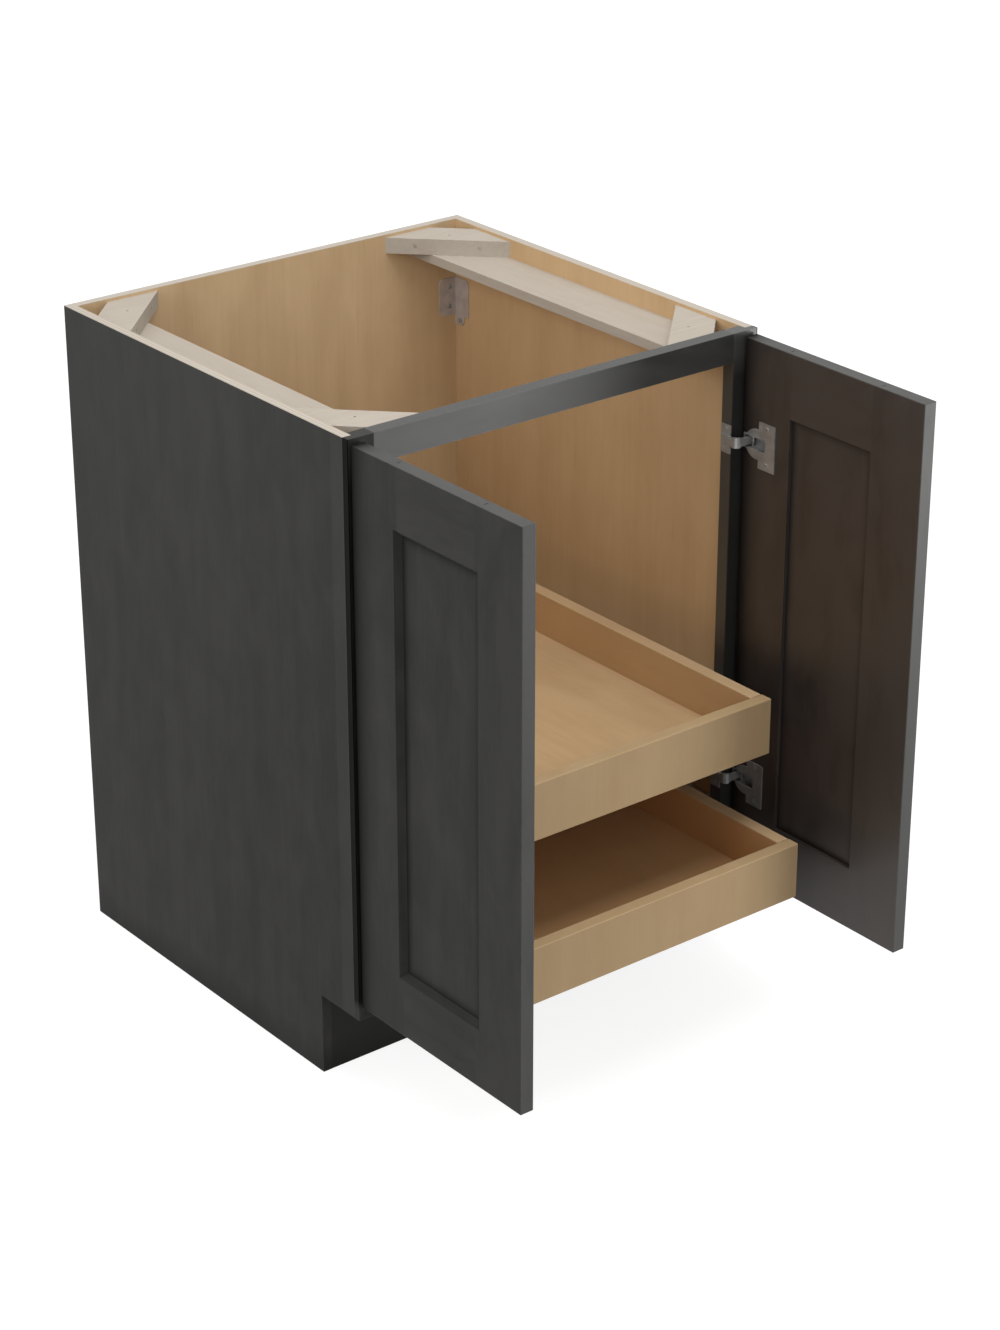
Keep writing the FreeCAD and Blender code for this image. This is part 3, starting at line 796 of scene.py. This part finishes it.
def cup_lids(side):
    """The rim of each cup above and below the slot that the arm swings through, flush with the flange."""
    mesh = bmesh.new()
    hinge_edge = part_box(side + "_door_hinge_stile")[1].y
    inner_face = min(abs(corner.x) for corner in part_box(side + "_door_hinge_stile"))
    outward = outward_of(side)
    start = math.asin(arm_slot_half / cup_radius)
    for points in solids_of(side + "_hinge_cups"):
        height = middle_of(points)[0].z
        for turn in (1, -1):
            ring = []
            for step in range(lid_steps + 1):
                angle = start + (math.pi - 2 * start) * step / lid_steps
                y = hinge_edge - cup_inset + cup_radius * math.cos(angle)
                ring.append((y, height + turn * cup_radius * math.sin(angle)))
            top = [mesh.verts.new((outward * (inner_face - lid_thickness), y, z)) for y, z in ring]
            base = [mesh.verts.new((outward * inner_face, y, z)) for y, z in ring]
            mesh.faces.new(top)
            mesh.faces.new(list(reversed(base)))
            for k in range(len(ring)):
                mesh.faces.new((top[k - 1], base[k - 1], base[k], top[k]))
    data = pressing(mesh, side + " cup lids", sharp_edge)
    add_piece(side + "_cup_lids", data, side + "_door")


frame_plate_size = Vector((0.002, 0.018, 0.038))
strap_thickness = 0.004
strap_overlap = 0.013
strap_bend = 0.005
wide_arm = 0.0070
pinched_arm = 0.0055
slim_arm = 0.0050
pinch_start = 0.003
pinch_end = 0.0045
reach_pinch = 0.003
reach_slim = 0.006
square_edge = math.radians(60)
knuckle_radius = 0.0029
knuckle_bore = 0.0017


def arm_stations(strap_depth, stile_front, pin):
    """The pressed strap's course seen from above, as points with half its height at each."""
    stations = [
        (strap_depth, stile_front + strap_overlap, wide_arm),
        (strap_depth, stile_front, wide_arm),
        (strap_depth, stile_front - pinch_start, pinched_arm),
        (strap_depth, stile_front - pinch_end, pinched_arm),
    ]
    for turn in (0, 30, 60, 90):
        angle = math.radians(turn)
        depth = strap_depth + strap_bend * (1 - math.cos(angle))
        stations.append((depth, pin.y + strap_bend * (1 - math.sin(angle)), wide_arm))
    stations.append((strap_depth + strap_bend + reach_pinch, pin.y, pinched_arm))
    stations.append((strap_depth + strap_bend + reach_slim, pin.y, slim_arm))
    stations.append((abs(pin.x) - (knuckle_bore + knuckle_radius) / 2, pin.y, slim_arm))
    return stations


def bored_knuckle(mesh, place):
    """The rolled end of the strap, open for the pin."""
    outline = [(knuckle_radius, -wide_arm), (knuckle_radius, wide_arm), (knuckle_bore, wide_arm)]
    outline.append((knuckle_bore, -wide_arm))
    rings = [circle(mesh, place + Vector((0, 0, rise)), radius) for radius, rise in outline]
    for n in range(len(rings)):
        for k in range(round_steps):
            mesh.faces.new((rings[n - 1][k - 1], rings[n - 1][k], rings[n][k], rings[n][k - 1]))


def hinge_arms(side):
    """The plate on the stile's edge, the strap that is pinched at its bend, and the pin's knuckle."""
    mesh = bmesh.new()
    outward = outward_of(side)
    stile_low, stile_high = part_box(side + "_stile")
    stile_edge = min(abs(stile_low.x), abs(stile_high.x))
    pin = sum(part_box(side + "_hinge_pins"), Vector()) / 2
    strap_depth = stile_edge - frame_plate_size.x - strap_thickness / 2
    stations = arm_stations(strap_depth, stile_low.y, pin)
    for points in solids_of(side + "_hinge_arms"):
        height = middle_of(points)[0].z
        plate_place = (stile_edge - frame_plate_size.x / 2, stile_low.y + frame_plate_size.y / 2, height)
        plate_turn = Matrix.Translation(plate_place) @ Matrix.Diagonal(frame_plate_size).to_4x4()
        bmesh.ops.create_cube(mesh, size=1.0, matrix=plate_turn)
        bored_knuckle(mesh, Vector((abs(pin.x), pin.y, height)))
        rings = []
        for k, (depth, y, half) in enumerate(stations):
            before = Vector(stations[max(k - 1, 0)][:2])
            after = Vector(stations[min(k + 1, len(stations) - 1)][:2])
            along = (after - before).normalized()
            side_step = Vector((-along.y, along.x)) * strap_thickness / 2
            corners = [(-1, -1), (1, -1), (1, 1), (-1, 1)]
            ring = [(depth + s * side_step.x, y + s * side_step.y, height + t * half) for s, t in corners]
            rings.append([mesh.verts.new(corner) for corner in ring])
        for first, second in zip(rings, rings[1:]):
            for k in range(4):
                mesh.faces.new((first[k - 1], first[k], second[k], second[k - 1]))
        mesh.faces.new(rings[0])
        mesh.faces.new(rings[-1])
    for vertex in mesh.verts:
        vertex.co.x *= outward
    data = pressing(mesh, side + " pressed hinge arms", square_edge)
    add_piece(side + "_pressed_hinge_arms", data, "carcase", [side + "_hinge_arms"])


for side in ("left", "right"):
    cup_lids(side)
    hinge_arms(side)
    dress(side + "_hinge_cups", nickel)
    dress(side + "_hinge_pins", bright_steel)
    name = side + "_cross_recess_cup_screws"
    drive_screws(name, side + "_cup_screws", flat_screw, nickel, 5, side + "_door")
drive_screws("cross_recess_arm_screws", "hinge_arm_screws", flat_screw, nickel, 3, "carcase")

# Trays
# Shallow rollout trays of solid maple with rounded top edges; the bottom is plywood let into
# grooves in the four walls. The walls have turned amber inside, and the lower tray's stronger russet tint
# is painted warm bounce light. Along the top edges of the back and side walls the tint fades out, a painted
# highlight on the rounded edge.

maple_umber = (0.345, 0.240, 0.126, 1)
bounce_russet = (0.61, 0.34, 0.150, 1)
tray_edge_light_depth = 0.004
tray_edge_light_share = 0.1
# The axis of each board's grain, its place in the log, the shift of its tone, its tint and the tint's share
tray_boards = {
    "front": ("z", 0.3, -0.07, maple_umber, 0.55),
    "back": ("x", 1.9, 0.02, maple_amber, 0.3),
    "left_side": ("y", 3.4, -0.02, maple_amber, 0.4),
    "right_side": ("y", 4.7, 0.01, maple_amber, 0.4),
    "bottom": ("y", 6.2, -0.17, maple_amber, 0.08),
}
# The lower tray's russet tint and its extra share are painted warm bounce light; the upper tray has none.
tray_levels = (("upper", 0.0, 0.0, maple_amber), ("lower", 8.0, 0.58, bounce_russet))
for level, offset, bounce_share, bounce_tint in tray_levels:
    for part, (axis, start, tone_shift, tint, share) in tray_boards.items():
        name = level + "_tray_" + part
        material, tree = new_material(name.replace("_", " "))
        if tint == maple_amber:
            tint = bounce_tint
            share += bounce_share
            # Painted highlight: the walls' tint fades near their top edges, so these read paler.
            if part != "bottom":
                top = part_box(name)[1].z
                z = put(tree, "ShaderNodeSeparateXYZ", {0: place_of(tree)}).outputs["Z"]
                share = spread(tree, z, top - tray_edge_light_depth, top, share, share * tray_edge_light_share)
        shift = (offset + start, start, offset)
        surface(tree, clear_maple(tree, axis, shift, tone_shift, tint, share), maple_bump)
        dress(name, material)

# Runners and cleats
# Three-part zinc-plated steel runners: an outer channel screwed to a bare wooden cleat on the
# cabinet's side, a middle channel that rides half way, and an inner channel screwed to the tray.

zinc = plated("zinc plate", (0.60, 0.61, 0.62, 1), 0.42, 0.55)
for level, offset in (("upper", 4.4), ("lower", 5.8)):
    for part in ("cabinet_runners", "middle_runners", "tray_runners"):
        dress(level + "_" + part, zinc)
    name = level + "_runner_cleats"
    dress(name, bare_wood(name.replace("_", " "), "y", (offset, 1.0, offset)))
    name = level + "_tray_screws"
    drive_screws("cross_recess_" + name, name, pan_screw, bright_steel, 7, level + "_tray")
drive_screws("cross_recess_runner_screws", "runner_screws", pan_screw, bright_steel, 9, "carcase")

# Floor, light and camera
# A white floor that keeps the shadow, soft lamps above, to the left and in front, two low cards in front
# and behind, an even sky, and a camera at the photograph's place.

white = (1, 1, 1, 1)
floor_half = 40.0
floor_drop = 0.001
floor_grey = (0.25, 0.25, 0.25, 1)
floor_roughness = 0.9
floor_glow = 0.85
sky_strength = 0.55


def shown_rays(tree):
    """One for the rays that see the background itself: direct, in reflections and through glass."""
    rays = put(tree, "ShaderNodeLightPath").outputs
    mirrored = maths(tree, "MAXIMUM", rays["Is Glossy Ray"], rays["Is Transmission Ray"])
    return maths(tree, "MAXIMUM", rays["Is Camera Ray"], mirrored)


floor_mesh = bpy.data.meshes.new("studio floor")
signs = [(-1, -1), (1, -1), (1, 1), (-1, 1)]
corners = [(x * floor_half, y * floor_half, -floor_drop) for x, y in signs]
floor_mesh.from_pydata(corners, [], [(0, 1, 2, 3)])
floor = bpy.data.objects.new("studio_floor", floor_mesh)
bpy.context.scene.collection.objects.link(floor)
floor_material, tree = new_material("studio floor")
seen = shown_rays(tree)
floor_inputs = {
    "Base Color": floor_grey,
    "Roughness": floor_roughness,
    "Emission Color": white,
    "Emission Strength": maths(tree, "MULTIPLY", seen, floor_glow),
}
floor_shader = put(tree, "ShaderNodeBsdfPrincipled", floor_inputs)
put(tree, "ShaderNodeOutputMaterial", {"Surface": floor_shader.outputs[0]})
floor_mesh.materials.append(floor_material)

world = bpy.data.worlds.new("studio sky")
world.use_nodes = True
tree = world.node_tree
tree.nodes.clear()
seen = shown_rays(tree)
sky_light = result(tree, "ShaderNodeBackground", {"Color": white, "Strength": sky_strength})
sky_white = result(tree, "ShaderNodeBackground", {"Color": white, "Strength": 1.0})
sky = result(tree, "ShaderNodeMixShader", {0: seen, 1: sky_light, 2: sky_white})
put(tree, "ShaderNodeOutputWorld", {"Surface": sky})
bpy.context.scene.world = world


def softbox(name, place, aim, width, watts):
    lamp = bpy.data.lights.new(name, "AREA")
    lamp.shape = "SQUARE"
    lamp.size = width
    lamp.energy = watts
    holder = bpy.data.objects.new(name, lamp)
    bpy.context.scene.collection.objects.link(holder)
    holder.location = place
    holder.rotation_euler = (Vector(place) - Vector(aim)).to_track_quat("Z", "Y").to_euler()


cabinet_middle = (0, -0.5, 0.5)
softbox("overhead softbox", (0.0, -1.0, 4.5), cabinet_middle, width=3.0, watts=106.0)
softbox("left softbox", (-3.6, -1.2, 2.4), cabinet_middle, width=2.2, watts=52.0)
softbox("front softbox", (-0.8, -4.2, 2.6), cabinet_middle, width=2.4, watts=10.0)
softbox("low front card", (1.55, -2.45, 0.35), (0.2, -0.8, 0.6), width=0.9, watts=22.5)
softbox("low back card", (-1.65, 1.3, 0.3), (-0.3, -0.3, 0.7), width=0.9, watts=1.6)

camera_data = bpy.data.cameras.new("photo camera")
camera_data.sensor_fit = "VERTICAL"
camera_data.sensor_height = 36.0
camera_data.lens = 86.94
camera_data.clip_end = 200.0
camera = bpy.data.objects.new("photo camera", camera_data)
bpy.context.scene.collection.objects.link(camera)
camera.location = (-2.2978, -3.3848, 2.1730)
camera_azimuth = math.radians(-38.458)
camera_elevation = math.radians(24.85)
backward = Vector((
    math.sin(camera_azimuth) * math.cos(camera_elevation),
    -math.cos(camera_azimuth) * math.cos(camera_elevation),
    math.sin(camera_elevation),
))
camera.rotation_euler = backward.to_track_quat("Z", "Y").to_euler()
bpy.context.scene.camera = camera
bpy.context.scene.view_settings.view_transform = "Standard"
